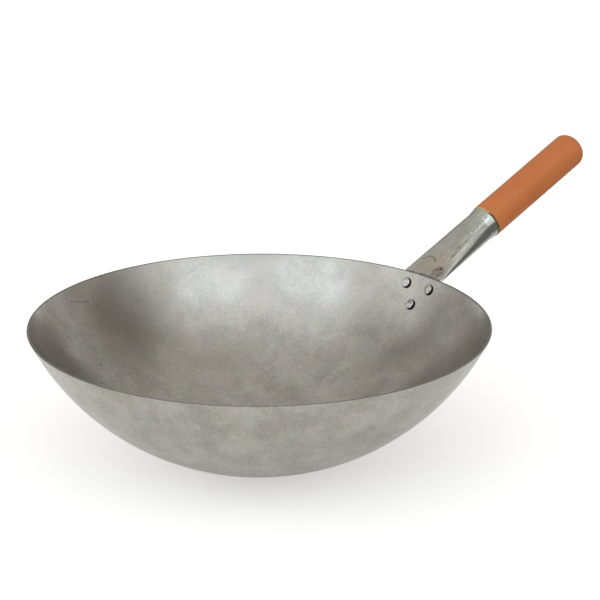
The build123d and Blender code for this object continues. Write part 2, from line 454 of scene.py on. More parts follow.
def socket_middle(handle, along, across):
    """Middle of the socket's sheets, and the way across them. Below the bend it lies on a
    sphere round the bowl, so each slice across the handle is a circle, and above the bend it
    is the flat's plane. Between them it follows a quadratic curve whose control point is
    where the circle meets the plane."""
    bowl, way, bend = handle.bowl, handle.way, handle.sizes.bend_reach
    circle = chord(bowl.outer + handle.sizes.wall_clearance + handle.thickness / 2, across)
    start = handle.root - bowl.centre
    reach = start @ way
    meet = -reach + np.sqrt(reach ** 2 - start @ start + circle ** 2)
    corner = start + meet[..., None] * way
    turn = np.arctan2(corner[..., 0], -corner[..., 2])

    def on_wall(drop):
        polar = turn - drop / circle
        return np.stack((circle * np.sin(polar), 0 * polar, -circle * np.cos(polar)), -1)

    def on_flat(station):
        return start + (station + meet * (1 - smooth(station, 0, EVEN_OUT)))[..., None] * way

    share_up = np.clip((along + bend) / (2 * bend), 0, 1)[..., None]
    curve = ((1 - share_up) ** 2 * on_wall(bend) + 2 * share_up * (1 - share_up) * corner
             + share_up ** 2 * on_flat(np.full_like(along, bend)))
    middle = np.where((along < -bend)[..., None], on_wall(-along),
                      np.where((along > bend)[..., None], on_flat(along), curve))
    middle = middle + across[..., None] * handle.side
    normal = unit((1 - share_up) * unit(-middle) + share_up * handle.up)
    return middle + bowl.centre, normal


def slot_section(share_round, straight, height):
    """Point on a slot's outline: two straight runs joined by half circles. The share of the
    whole girth starts in the middle of the top run. Each run is the clipped length left over
    from the runs before it."""
    half, radius = straight / 2, height / 2
    arc = math.pi * radius
    walked = share_round * (2 * straight + 2 * arc)
    top = np.clip(walked, 0, half)
    right = np.clip(walked - half, 0, arc) / radius
    bottom = np.clip(walked - half - arc, 0, straight)
    left = np.clip(walked - half - arc - straight, 0, arc) / radius
    home = np.clip(walked - half - 2 * arc - straight, 0, half)
    across = top + radius * np.sin(right) - bottom - radius * np.sin(left) + home
    return across, radius * (np.cos(right) + 1 - np.cos(left))


def socket_rows(settings):
    """Socket: a slot section of constant girth carried along the sheets' middle, from the
    tongue's rounded end up the wall, over the bend, along the taper and the flare to the
    mouth, round its lip and back down the inside to the pinch. The press mark is an arched
    step on the top, the burr a small hump at the root's corner, and the dents are waves."""
    handle = Handle(settings)
    sizes = handle.sizes
    bend, tongue, tip = sizes.bend_reach, sizes.tongue_reach, handle.thickness / 2
    lip, lip_start = sizes.lip_round, sizes.socket_length - sizes.lip_round
    stops = (tip - tongue, -bend, bend, FINE_END, handle.tube_end, lip_start)
    runs = [np.linspace(low, high, count)[1:]
            for low, high, count in zip(stops, stops[1:], SOCKET_RUNS)]
    outside = np.concatenate((-tongue + tip * (1 - np.cos(quarter(8)[1:])), *runs))
    lip_turn = np.linspace(0, math.pi, 9)[1:-1]
    inside = np.linspace(lip_start, sizes.flat_length + sizes.pinch_gap / handle.taper,
                         INSIDE_ROWS)
    along = np.concatenate((outside, lip_start + lip * np.sin(lip_turn), inside))
    inset = np.concatenate((0 * outside, sizes.sheet / 2 * (1 - np.cos(lip_turn)),
                            0 * inside + sizes.sheet))
    height = handle.height(along)
    straight = handle.straight(height)
    half_width = handle.root_width / 2
    outline = chord(half_width, np.maximum(half_width - along - tongue, 0))
    swell = chord(1, 1 - np.minimum((along + tongue) / tip, 1))
    height = np.maximum(np.where(along < 0, height * swell, height) - 2 * inset, THINNEST)
    straight = np.where(along < 0, np.maximum(2 * outline - height, THINNEST), straight)
    share_round = np.linspace(0, 1, SOCKET_ROUND, endpoint=False)[None, :]
    across, above = slot_section(share_round, straight[:, None], height[:, None])
    place = along[:, None] * np.ones((1, SOCKET_ROUND))
    middle, normal = socket_middle(handle, place, across)

    # Press mark, burr and small dents, on the outside only
    where = np.stack((place, across, above), -1)
    skin = (inset < sizes.sheet * 0.3)[:, None] * smooth(above, 0.0, 0.0008)
    mark = 1 - smooth(np.linalg.norm(where[..., :2] - MARK_MIDDLE, axis=-1), *MARK_STEP)
    mark = mark * smooth(place, 0.0080, 0.0140)
    burr = np.exp(-(((where[..., :2] - BURR_MIDDLE) / BURR_SIZE) ** 2).sum(axis=-1))
    dents = 1 + waves(where, DENT_WAVE, 5) * smooth(place, 0.004, 0.02)
    raised = sizes.burr_height * burr - sizes.crease_depth * mark - DENT_DEPTH * dents
    rows = middle + (above + raised * skin)[..., None] * normal
    ends = where[[0, -1]].mean(axis=1)
    return (rows, *rows[[0, -1]].mean(axis=1)), np.concatenate((where.reshape(-1, 3), ends))


def rivet_places(rivets):
    """Node of each rivet, how far it stands to the side, and how far down the wall."""
    return (("rivet_upper_left", rivets.side, rivets.upper_drop),
            ("rivet_upper_right", -rivets.side, rivets.upper_drop),
            ("rivet_lower", 0.0, rivets.lower_drop))


def rivet_rows(settings, side, drop, seed):
    """Rivet: its profile runs from the middle of the flat head inside the bowl out over its
    rounded edge, in under the head, down the shank through the wall and the tongue, and out
    and over the domed head. It is turned about the line square to the wall, with a radius
    that wanders by a few hundredths, as a hammered head's does. Each point also gets its
    radius and its depth below the head's edge."""
    handle, sizes = Handle(settings), settings.rivets
    bowl = handle.bowl
    head, shank = sizes.head_diameter / 2, sizes.shank_diameter / 2
    formed = sizes.formed_diameter / 2
    inner_seat = bowl.inner - sizes.seat_gap
    tongue_top = bowl.outer + handle.sizes.wall_clearance + handle.thickness
    outer_seat = tongue_top + sizes.seat_gap
    top = bowl.inner - sizes.head_height
    out = np.linspace(0, 1, 9)
    crown = pairs((head - sizes.head_round) * out, top - sizes.head_crown * (1 - out ** 2))
    stem = [(radius, chord(seat, radius)) for seat, radius in (
        (inner_seat, head), (inner_seat, shank), (outer_seat, shank), (outer_seat, formed))]
    foot = stem[-1][1]
    turn = quarter(12)[1:]
    dome = pairs(formed * np.cos(turn),
                 foot + (tongue_top + sizes.formed_height - foot) * np.sin(turn) ** 0.9)
    profile = np.concatenate((crown, round_edge(head, top, sizes.head_round), stem, dome))
    phase = np.random.default_rng(seed).uniform(0, TURN, 3)

    def wobble(radius, distance, turn):
        hammered = (0.014 * np.cos(2 * turn + phase[0]) + 0.012 * np.cos(3 * turn + phase[1])
                    + 0.016 * np.cos(4 * turn + phase[2])) - 0.03
        return 1 + hammered * smooth(radius, shank, shank * 1.3)

    shape = turned(profile, bowl.centre, bowl.wall_axes(side, drop), RIVET_ROUND, wobble)
    own = np.concatenate((np.repeat(profile[1:-1], RIVET_ROUND, axis=0), profile[[0, -1]]))
    return shape, np.pad(own - (0, top), ((0, 0), (0, 1)))


def grip_rows(settings):
    """Grip: its profile runs from the tenon's tip along the tapered tenon, out across the
    shoulder, over its rounded edge, along the rod, and over a quarter ellipse to the end. It
    is turned about the handle's axis, and the rod's radius wanders by a few hundredths of a
    millimetre, as on a lathe."""
    handle, sizes = Handle(settings), settings.grip
    mouth = handle.sizes.socket_length
    tenon_start = mouth - sizes.tenon_length
    skin = handle.sizes.sheet + sizes.tenon_clearance
    tip, root = (handle.height(at) / 2 - skin for at in (tenon_start, handle.tube_end))
    shoulder = mouth + sizes.shoulder_gap
    radius, corner = sizes.diameter / 2, sizes.shoulder_round
    rod_end = mouth + sizes.length - sizes.end_depth
    stem = ((0, tenon_start), (tip, tenon_start), (root, handle.tube_end), (root, shoulder),
            (radius - corner, shoulder))
    rod = pairs(radius, np.linspace(shoulder + corner, rod_end, 72)[1:])
    turn = quarter(28)[1:]
    dome = pairs(radius * np.cos(turn), rod_end + sizes.end_depth * np.sin(turn))
    profile = np.concatenate((stem, round_edge(radius, shoulder, corner), rod, dome))

    def wobble(radius_here, distance, turn):
        lathe = np.sin(distance * TURN / LATHE_WAVE + 0.7 * np.cos(turn))
        lathe = 0.5 + 0.5 * lathe * np.cos(distance * LATHE_CHANGE)
        return 1 - LATHE_DEPTH * lathe * smooth(distance - shoulder, *LATHE_START)

    axes = handle.side, handle.up, handle.way
    return turned(profile, handle.root, axes, GRIP_ROUND, wobble)


def nail_rows(settings):
    """Nail: its profile runs from the middle of its low domed head out over the edge, in to
    the shank and down to its end, and is turned about the line square to the handle's
    underside."""
    handle, sizes = Handle(settings), settings.grip
    station = handle.sizes.socket_length - sizes.nail_setback
    seat = handle.height(station) / 2
    head, shank = sizes.nail_head_diameter / 2, sizes.nail_diameter / 2
    foot, point = seat - head ** 2 / (2 * seat), seat - sizes.nail_length
    turn = quarter(12)
    dome = pairs(head * np.sin(turn) ** 0.55,
                 seat + sizes.nail_head_height * np.cos(turn) ** 0.7)
    stem = ((head, foot), (shank, foot), (shank, point), (0, point))
    axes = handle.side, handle.way, -handle.up
    origin = handle.root + handle.way * station
    return turned(np.concatenate((dome, stem)), origin, axes, NAIL_ROUND)


# Finishes


class Wire:
    """Output of a node. Each step on it adds a node to the same tree and gives its output."""

    def __init__(self, tree, socket):
        self.tree, self.socket = tree, socket

    def math(self, operation, other=0.0):
        """One step on numbers."""
        return self.tree.wire("ShaderNodeMath", 0, (self, other), operation=operation)

    def __add__(self, other):
        return self.math("ADD", other)

    def __sub__(self, other):
        return self.math("SUBTRACT", other)

    def __mul__(self, other):
        return self.math("MULTIPLY", other)

    def __truediv__(self, other):
        return self.math("DIVIDE", other)

    def __abs__(self):
        return self.math("ABSOLUTE")

    def at_least(self, other):
        """The higher of two numbers."""
        return self.math("MAXIMUM", other)

    def at_most(self, other):
        """The lower of two numbers."""
        return self.math("MINIMUM", other)

    def span(self, low, high, out_low=0.0, out_high=1.0):
        """Number from low to high carried over smoothly to another span."""
        return self.tree.wire("ShaderNodeMapRange", 0, (self, low, high, out_low, out_high),
                              interpolation_type="SMOOTHSTEP")

    def vector(self, operation, other=ORIGIN):
        """One step on vectors."""
        output = "Value" if operation in ("DOT_PRODUCT", "DISTANCE", "LENGTH") else "Vector"
        return self.tree.wire("ShaderNodeVectorMath", output, (self, other), operation=operation)

    def moved(self, location=ORIGIN, rotation=ORIGIN, scale=(1, 1, 1)):
        """Place after a Mapping node: scaled, turned and moved."""
        return self.tree.wire("ShaderNodeMapping", 0, (self, location, rotation, scale))

    def split(self):
        """The three parts of a vector."""
        return self.tree.wires("ShaderNodeSeparateXYZ", [self])

    def noise(self, scale, detail=2.0, roughness=0.5, distortion=0.0):
        """Smooth noise from 0 to 1 at this place."""
        return self.tree.wire("ShaderNodeTexNoise", "Fac", {
            "Vector": self, "Scale": scale, "Detail": detail, "Roughness": roughness,
            "Distortion": distortion})

    def cells(self, scale, smoothness):
        """Distance from this place to the middle of its cell, smooth over the cells' edges."""
        return self.tree.wire("ShaderNodeTexVoronoi", "Distance", {
            "Vector": self, "Scale": scale, "Smoothness": smoothness}, feature="SMOOTH_F1")

    def effect(self, name, *inputs):
        """Outputs of a shared effect at this place."""
        return self.tree.wires("ShaderNodeGroup", (self, *inputs),
                               node_tree=bpy.data.node_groups[name])

    def mask(self, name, *inputs):
        """Mask that a shared effect gives at this place."""
        return self.effect(name, *inputs)[0]

    def blend(self, first, second):
        """Mix of two colours by this share of the second."""
        return self.tree.mix("MIX", self, first, second)

    def cover(self, *layers):
        """This colour under further ones, each given as its mask and its colour."""
        skin = self
        for mask, tone in layers:
            skin = self.tree.mix("MIX", mask, skin, tone)
        return skin

    def tint(self, tone, mask=1.0):
        """This colour times another one where the mask shows it."""
        return self.tree.mix("MULTIPLY", mask, self, tone)


class Tree:
    """Adds nodes to a node tree and joins their sockets."""

    def __init__(self, tree):
        self.tree = tree

    def add(self, kind, inputs=(), **settings):
        """New node. Its inputs are given in order, or by name or number, and each is a wire or
        a plain value. A plain colour is three numbers, or one for a grey."""
        node = self.tree.nodes.new(kind)
        for name, value in settings.items():
            setattr(node, name, value)
        for key, value in inputs.items() if isinstance(inputs, dict) else enumerate(inputs):
            socket = node.inputs[key]
            if isinstance(value, Wire):
                self.tree.links.new(value.socket, socket)
            elif socket.type == "RGBA":
                socket.default_value = (*np.ones(3) * value, 1.0)
            else:
                socket.default_value = value
        return node

    def wire(self, kind, output, inputs=(), **settings):
        """One output of a new node."""
        return Wire(self, self.add(kind, inputs, **settings).outputs[output])

    def wires(self, kind, inputs=(), **settings):
        """All outputs of a new node."""
        return [Wire(self, output) for output in self.add(kind, inputs, **settings).outputs]

    def mix(self, way, share_of_second, first, second):
        """Mix of two colours."""
        return self.wire("ShaderNodeMix", 2, {0: share_of_second, 6: first, 7: second},
                         data_type="RGBA", blend_type=way)

    def here(self):
        """Object coordinates, in metres in the frame, because every piece is at the origin."""
        return self.wire("ShaderNodeTexCoord", "Object")

    def kept(self, name):
        """Vector that was stored for each point."""
        return self.wire("ShaderNodeAttribute", "Vector", attribute_name=name)

    def finish(self, skin, roughness, height, depth, **own):
        """Surface of a material: its colour, its roughness, a height of 0 to 1 that is worth
        this depth in metres, and what is set on the shader's own sockets by name."""
        normal = self.wire("ShaderNodeBump", "Normal", {
            "Height": height, "Distance": depth, "Strength": 1.0})
        shader = self.wire("ShaderNodeBsdfPrincipled", 0, {
            "Base Color": skin, "Roughness": roughness, "Normal": normal,
            **{name.replace("_", " "): value for name, value in own.items()}})
        self.add("ShaderNodeOutputMaterial", {"Surface": shader})


def make_effect(body):
    """Node group named after the function that works it out, with an input for each of the
    function's arguments. The function gives back the outputs by name."""
    group = bpy.data.node_groups.new(body.__name__, "ShaderNodeTree")
    inputs = body.__annotations__
    for label, kind in inputs.items():
        group.interface.new_socket(label.capitalize(), in_out="INPUT",
                                   socket_type="NodeSocket" + kind)
    tree = Tree(group)
    results = body(*tree.wires("NodeGroupInput")[:len(inputs)])
    for label, result in results.items():
        kind = "Color" if result.socket.type == "RGBA" else "Float"
        group.interface.new_socket(label, in_out="OUTPUT", socket_type="NodeSocket" + kind)
    tree.add("NodeGroupOutput", results)


def raw_sheet(place: "Vector", light: "Color", dark: "Color", stain: "Color",
              blotches: "Float", grains: "Float", cells: "Float", roughness: "Float"):
    """Shared effect: raw rolled sheet. Its colour drifts between a light and a dark tone in
    soft blotches, grain and fine dust, with a faint brown cast in places and slight green,
    pink, warm and cool tints. Its roughness and height follow the same blotches, over
    shallow cells left by the press."""
    blotch = place.noise(blotches, 5.0, 0.58, 0.4)
    grain = place.noise(grains, 4.0, 0.65)
    tone = blotch.span(0.28, 0.72) * 0.62 + grain.span(0.28, 0.72) * 0.38
    skin = tone.blend(dark, light).cover((place.noise(9.0).span(0.45, 0.80, 0.0, 0.35), stain))
    cast = place.noise(70.0, 1.5, 0.5, 0.3).span(0.3, 0.7)
    warmth = place.moved((0.3, 0.1, 0.2)).noise(55.0).span(0.3, 0.7)
    dust = place.noise(1250.0, 2.0, 0.6).span(0.25, 0.75)
    for share_here, first, second in ((cast, (0.982, 1.012, 0.985), (1.016, 0.990, 1.010)),
                                      (warmth, (0.986, 1.0, 1.016), (1.013, 1.0, 0.982)),
                                      (dust, 0.89, 1.11)):
        skin = skin.tint(share_here.blend(first, second))
    drift = blotch.span(0.3, 0.7, 0.018, -0.018) + grain.span(0.3, 0.7, 0.02, -0.02)
    height = place.cells(cells, 0.8) * 0.38 + grain * 0.020 + blotch * 0.22
    return {"Color": skin, "Roughness": roughness + drift, "Height": height}


def scratches(place: "Vector", scale: "Float", cover: "Float"):
    """Shared effect: fine lines. Noise on a place that is stretched along one way gives long
    threads, and only its narrow peaks are kept, where a second, wider noise lets them."""
    line = abs(place.noise(scale) - 0.5).span(0.0, 0.022, 1.0, 0.0)
    return {"Mask": line * (place.noise(scale * 0.13) + cover).span(0.95, 1.15)}


def specks(place: "Vector", scale: "Float", size: "Float", portion: "Float"):
    """Shared effect: scattered dots. Each Voronoi cell may hold one round dot at its point,
    and only the cells whose own random value is low enough show theirs."""
    distance, tone = place.tree.wires(
        "ShaderNodeTexVoronoi", {"Vector": place, "Scale": scale})[:2]
    dot = (distance / size).span(0.6, 1.0, 1.0, 0.0)
    return {"Mask": dot * tone.split()[0].math("LESS_THAN", portion)}


def stroke(place: "Vector", start: "Vector", end: "Vector", width: "Float"):
    """Shared effect: one straight mark between two points, with soft sides. The nearest point
    of the line is the start plus the share of the line that the place is level with, and the
    mask falls from 1 to 0 as the distance to it goes from nothing to the width."""
    run, off = end.vector("SUBTRACT", start), place.vector("SUBTRACT", start)
    level = off.vector("DOT_PRODUCT", run) / run.vector("DOT_PRODUCT", run)
    nearest = place.tree.wire("ShaderNodeVectorMath", 0, {
        0: run, "Scale": level.at_least(0.0).at_most(1.0)}, operation="SCALE")
    return {"Mask": off.vector("DISTANCE", nearest).span(0.0, width, 1.0, 0.0)}


def halo(place: "Vector", centre: "Vector", inner: "Float", outer: "Float"):
    """Shared effect: a soft disc round a point, 1 inside the inner distance and 0 outside the
    outer one."""
    return {"Mask": place.vector("DISTANCE", centre).span(inner, outer, 1.0, 0.0)}


def new_tree(owner):
    """Empty node tree of a new material or world."""
    owner.use_nodes = True
    owner.node_tree.nodes.clear()
    return Tree(owner.node_tree)


def new_material(name):
    """Empty material and its tree."""
    material = bpy.data.materials.new(name)
    return material, new_tree(material)


# Painted reflections inside the bowl, one light and two dark soft patches: middle, reach and tone
PAINTED_REFLECTIONS = (((0.122, 0.045, 0.051), 0.036, 1.17), ((0.130, 0.069, 0.068), 0.026, 0.87),
                ((0.165, -0.015, 0.092), 0.022, 0.87))
# Short marks on the bowl: start, end, width and strength, which is bright above 0 and dark
# below it
SCARS = (
    ((0.0084, 0.1737, 0.1062), (0.0030, 0.1716, 0.1032), 0.0009, -0.25),
    ((0.0644, 0.1578, 0.1001), (0.0700, 0.1560, 0.1012), 0.0008, -0.22),
    ((-0.0955, -0.1160, 0.0690), (-0.0883, -0.1023, 0.0532), 0.0010, 0.30),
    ((-0.0560, 0.1262, 0.0580), (-0.0556, 0.1255, 0.0572), 0.0009, -0.97),
    ((-0.0672, 0.1105, 0.0499), (-0.0668, 0.1098, 0.0493), 0.0009, -0.97),
    ((0.1771, -0.0025, 0.1127), (0.1757, 0.0051, 0.1099), 0.0008, 0.30),
    ((0.1757, 0.0051, 0.1099), (0.1726, 0.0018, 0.1038), 0.0008, 0.25),
    ((-0.0560, 0.1619, 0.1015), (-0.0360, 0.1647, 0.0968), 0.0011, -0.30),
    ((-0.0315, 0.1661, 0.0976), (-0.0291, 0.1629, 0.0919), 0.0022, -0.15),
    ((-0.0285, 0.1629, 0.0918), (-0.0254, 0.1600, 0.0869), 0.0018, -0.18),
)


def bowl_steel(settings):
    """Raw bowl: the shared sheet, calmer high on the far wall, with drawn-out tones on its
    outside, a dark cut rim, painted reflections as one light and two dark soft patches, dots,
    short scars and painted shade round the rivets."""
    finishes, bowl = settings.finishes, Bowl(settings.bowl)
    grime, stain = finishes.grime, finishes.steel_stain
    material, tree = new_material("bowl_steel")
    place = tree.here()
    skin, rough, height = place.effect("raw_sheet", finishes.steel_light, finishes.steel_dark,
                                       stain, 38.0, 420.0, 62.0, finishes.steel_gloss)
    level = place.split()[2]
    far_side = place.vector("DOT_PRODUCT", (0.67, 0.74, 0.0))
    calm = level.span(0.050, 0.085) * far_side.span(0.05, 0.14, 0.05, 0.34)
    even = (np.array(finishes.steel_dark) + finishes.steel_light) / 2

    # Tones that run up the outside: noise that changes faster round the bowl than up it
    round_bowl = place.moved(scale=(1, 1, 0)).vector("NORMALIZE")
    flow_place = round_bowl.vector("ADD", place.moved(scale=(0, 0, 2.2)))
    outside = place.vector("DISTANCE", bowl.centre).span(
        bowl.outer - 0.0010, bowl.outer - 0.0006)
    flow = flow_place.noise(30.0, 4.0, 0.62, 0.2).span(0.32, 0.68) - 0.5
    flow = flow * (level.span(0.004, 0.04) * outside)
    rim = level.span(bowl.depth - 0.0006, bowl.depth - 0.0002)
    skin = skin.cover((calm, even), ((flow * -0.26).at_least(0.0), stain),
                      ((flow * 0.20).at_least(0.0), finishes.steel_edge), (rim * 0.48, grime))
    # Painted reflections: one patch lightens the colour and two darken it
    for centre, reach, tone in PAINTED_REFLECTIONS:
        skin = skin.tint(tone, place.mask("halo", centre, 0.0, reach))
    skin = skin.cover((place.mask("specks", 85.0, 0.042, 0.05) * 0.75, grime))
    scars = 0.0
    for start, end, width, strength in SCARS:
        mask = place.mask("stroke", start, end, width)
        skin = skin.cover((mask * abs(strength), finishes.steel_edge if strength > 0 else grime))
        scars = mask.at_least(scars)

    # Painted shade in the corner under each rivet's head, all round it, and a stronger painted
    # shadow shifted to one side
    head = settings.rivets.head_diameter / 2
    for _, side, drop in rivet_places(settings.rivets):
        sideways, up_wall, outwards = bowl.wall_axes(side, drop)
        for shadow_shift, strength in ((0.0, 0.55), (0.0010, 0.95)):
            centre = bowl.centre + outwards * bowl.inner - shadow_shift * (sideways + 0.4 * up_wall)
            ring = place.mask("halo", centre, head + 0.0001, head + 0.0008)
            skin = skin.cover((ring * strength, grime))
    tree.finish(skin, rough - rim * 0.05, height - scars * 0.2 + flow * 0.18, 0.00020,
                Metallic=1.0)
    return material


def socket_steel(settings):
    """Raw socket: the shared sheet with fine scratches along the tube, a streaked band of
    painted highlight and dark nicks on its side, a warm root with a browner cast, painted shade
    along the press mark's line with a painted shadow at its corner, a painted shade line at the
    foot, a rough pitted patch, a painted highlight on the lip, and a dark line between the two
    sheets at the tongue's cut end."""
    finishes, mouth = settings.finishes, settings.handle.socket_length
    grime = finishes.grime
    material, tree = new_material("socket_steel")
    place = tree.kept("sheet")
    along, _, above = place.split()
    skin, rough, height = place.effect(
        "raw_sheet", finishes.socket_light, finishes.socket_dark, finishes.socket_dark,
        110.0, 900.0, 95.0, finishes.steel_gloss - 0.09)
    lines = place.moved(scale=(0.035, 1.0, 1.0)).mask("scratches", 900.0, 0.48)
    # Painted highlight: a band along the tube's highlight line, where the streaks brighten the
    # colour up to 1.44 times
    highlight_band = place.mask("stroke", (0.022, -0.0140, 0.0046), (0.068, -0.0115, 0.0107), 0.0080)
    streaks = place.moved(scale=(0.05, 1.0, 1.0)).noise(330.0, 3.0, 0.6).span(0.3, 0.7)
    streaks_and_highlight = streaks.blend(highlight_band.blend(0.955, 0.84), highlight_band.blend(1.045, 1.44))
    skin = skin.cover((lines * 0.10, finishes.steel_dark)).tint(streaks_and_highlight)
    side = place.mask("stroke", (0.024, -0.0120, 0.0056), (0.072, -0.0085, 0.0112), 0.0042)
    nicks = place.moved(scale=(0.45, 1.0, 1.0)).noise(1050.0, 3.0, 0.7)
    nicks = (side * 0.17 + nicks).span(0.66, 0.74)
    brown = place.mask("stroke", (0.0085, -0.0105, 0.0015), (0.0275, -0.0045, 0.0046), 0.0085)
    warm_root = place.mask("halo", (0.010, 0.002, 0.0018), 0.006, 0.018)
    skin = skin.cover((nicks * 0.6, grime)).tint((1.07, 0.965, 0.93), brown)
    skin = skin.tint((1.0, 0.93, 0.86), warm_root)

    # Painted shade: the press mark's broken dark line and a painted shadow at its corner, and a
    # painted shade line in the gap at the root's foot
    arch = place.moved((-MARK_MIDDLE[0], -MARK_MIDDLE[1], 0.0), scale=(1, 1, 0))
    arch = place.noise(150.0) * 0.0012 + arch.vector("LENGTH")
    ring = abs(arch - 0.0076).span(0.0, 0.0011, 1.0, 0.0)
    ring = ring * (above.span(0.0004, 0.001) * along.span(0.0125, 0.0150))
    corner = place.mask("halo", (0.0166, 0.0024, 0.0016), 0.0, 0.0030)
    broken = place.noise(260.0, 2.0, 0.6).span(0.30, 0.62, 0.22, 0.62)
    foot = along.span(-0.0012, -0.0006) * along.span(0.0001, 0.0009, 1.0, 0.0)
    foot = foot * place.noise(420.0, 3.0, 0.6).span(0.38, 0.60, 0.10, 0.75)

    # Pitted patch, painted highlight on the lip, and the seam between the sheets at the tongue's
    # end
    pit_area = place.mask("halo", (0.0066, -0.0103, 0.0015), 0.0036, 0.0078)
    pits = place.noise(430.0, 4.0, 0.7, 1.2).span(0.47, 0.58) * pit_area
    lip = along.span(mouth - 0.0016, mouth - 0.0005)
    seam = abs(above).span(0.00004, 0.00022, 1.0, 0.0) * along.span(-0.016, -0.013, 1.0, 0.0)
    # Among these, the corner, the ring and the foot are painted shade, and the lip is a painted
    # highlight
    skin = skin.cover((corner * 0.42, grime), (ring * broken, grime), (foot, grime),
                      (pit_area * 0.52, finishes.steel_stain), (pits * 0.85, grime),
                      (lip * 0.45, finishes.steel_edge), (seam, grime))
    height = height - lines * 0.03 - nicks * 0.35 - pits * 0.9
    tree.finish(skin, rough + pits * 0.25, height, 0.00018, Metallic=1.0)
    return material


def rivet_steel(settings, name, side_dirt_and_shade):
    """Rivets and nail: brighter steel with small hammer marks and dirt in its scratches. The
    rivets have more such dirt towards one side of the handle, and their sides, below the flat
    head's edge, are darkened with painted shade from the corner under it."""
    finishes = settings.finishes
    material, tree = new_material(name)
    place = tree.here()
    grain, wear = place.noise(1600.0, 3.0, 0.6), place.noise(330.0, 3.0, 0.6)
    skin = wear.span(0.35, 0.7, 0.0, 0.6).blend(finishes.rivet_light, finishes.steel_dark)
    dirt = (wear + grain * 0.4).span(0.78, 0.92, 0.0, 0.6)
    if side_dirt_and_shade:
        below = tree.kept("rivet").split()[1]
        # Painted shade on each rivet's side below the flat head's edge
        side = below.span(0.00015, 0.0005) * below.span(0.0030, 0.0034, 1.0, 0.0)
        marks = place.noise(1000.0, 3.0, 0.7, 0.6).span(0.51, 0.60)
        marks = marks * place.split()[1].span(0.004, 0.010, 0.75, 0.15)
        dirt = dirt.at_least(marks).at_least(side * 0.96)
    tree.finish(skin.cover((dirt, finishes.grime)), wear.span(0.3, 0.7, 0.24, 0.40),
                grain * 0.12 + place.cells(420.0, 0.7), 0.00022, Metallic=1.0)
    return material


def grip_paint(settings):
    """Grip: satin orange-brown coat over turned wood. The wood's long grain shows faintly in
    colour and height, and the coat is chipped to bare wood in places along the shoulder, has
    painted shade in the gap below the shoulder, deeper on one side, and has a few dark spots."""
    finishes, handle = settings.finishes, Handle(settings)
    shoulder = handle.sizes.socket_length + settings.grip.shoulder_gap
    material, tree = new_material("grip_paint")
    place = tree.here().moved((-handle.root @ handle.way, 0.0, -handle.root @ handle.up),
                              (0, handle.sizes.slope, 0))
    along, across, _ = place.split()
    grain_place = place.moved(scale=(0.05, 1.0, 1.0))
    fibre = grain_place.noise(900.0, 4.0, 0.6)
    rings = grain_place.noise(210.0, 3.0, 0.55, 0.5)
    cloud = place.noise(38.0, 3.0, 0.55)
    tone = cloud.span(0.3, 0.7) * 0.5 + rings.span(0.3, 0.7) * 0.3 + fibre * 0.2
    near = along.span(shoulder, shoulder + 0.0018, 1.0, 0.0)
    chipped = (near * 0.38 + place.noise(310.0, 3.0, 0.65)).span(0.74, 0.80)
    # Painted shade in the gap just inside the shoulder, reaching further on one side of the grip
    gap_shade_edge = place.noise(240.0, 3.0, 0.6) * -0.0022 + along
    gap_shade_edge = gap_shade_edge + across.span(-0.011, -0.006, -0.0008, 0.0009)
    below = gap_shade_edge.span(shoulder - 0.0009, shoulder - 0.0002, 1.0, 0.0)
    spots = place.mask("specks", 95.0, 0.06, 0.06)
    skin = tone.blend(finishes.paint_dark, finishes.paint).cover(
        (chipped, finishes.bare_wood), (below * 0.9, finishes.grime),
        (spots * 0.5, finishes.grime))
    tree.finish(skin, cloud.span(0.3, 0.7, 0.46, 0.56),
                fibre * 0.35 + rings * 0.5 - chipped * 1.2, 0.00006,
                Coat_Weight=0.12, Coat_Roughness=0.35)
    return material


# Studio


# Soft patches of the room's light, each with its azimuth in degrees in the frame, half its
# width, the width of its soft sides, its lowest and highest elevation, the height of its
# soft top and bottom, and what it adds in red, green and blue
ROOM_PATCHES = (
    ("front_wash", -135.8, 68.4, 59.4, -40.0, 67.2, 36.6, (0.70, 0.77, 0.84)),
    ("left_softbox", -166.5, 17.2, 22.9, 36.9, 52.5, 17.0, (0.44, 0.56, 0.63)),
    ("right_softbox", -100.9, 21.7, 21.2, 38.0, 52.4, 17.0, (0.43, 0.54, 0.62)),
    ("right_gap", -32.0, 20.5, 30.3, 23.5, 49.3, 11.2, (-0.27, -0.27, -0.27)),
    ("back_left_gap", 76.6, 10.1, 10.3, -30.0, 26.8, 11.9, (-0.33, -0.33, -0.33)),
    ("left_gap", 108.4, 5.9, 8.1, 21.7, 47.1, 12.6, (-0.20, -0.20, -0.20)),
    ("left_side", 138.7, 20.6, 17.4, -40.0, 38.5, 17.0, (0.43, 0.45, 0.45)),
    ("overhead", 0.0, 400.0, 10.0, 57.8, 200.0, 32.7, (0.11, 0.11, 0.11)),
)
ROOM_COLOUR = (1.03, 1.0, 0.955)
DARKEST = (0.02, 0.02, 0.02)
# White backdrop as gloss shows it: its highest elevation and soft top in degrees
BACKDROP = (4.0, 4.0)
# Dark side of the room to the camera's right, as gloss shows it: azimuth, half width, soft
# side, highest elevation and soft top in degrees
DARK_SIDE = (-57.0, 36.0, 18.0, 12.0, 18.0)
FLOOR_COLOUR = (0.83, 0.815, 0.785)
FLOOR_REACH = 9.0
FLOOR_DROP = 0.0002


def eye_and_gloss(tree):
    """1 for what the eye sees, and 1 for what gloss and glass show. Both are 0 for the light
    that falls on the object."""
    rays = tree.add("ShaderNodeLightPath").outputs
    eye, gloss, glass = (Wire(tree, rays[f"Is {kind} Ray"])
                         for kind in ("Camera", "Glossy", "Transmission"))
    return eye, (gloss + glass).at_most(1.0)


def above_edge(value, degrees, fade):
    """Soft edge at an angle in degrees, from 0 below it to 1 above it over the fade."""
    return value.span(math.radians(degrees - fade / 2), math.radians(degrees + fade / 2))


def below_edge(value, degrees, fade):
    """Soft edge at an angle in degrees, from 1 below it to 0 above it over the fade."""
    return value.span(math.radians(degrees - fade / 2), math.radians(degrees + fade / 2),
                      1.0, 0.0)


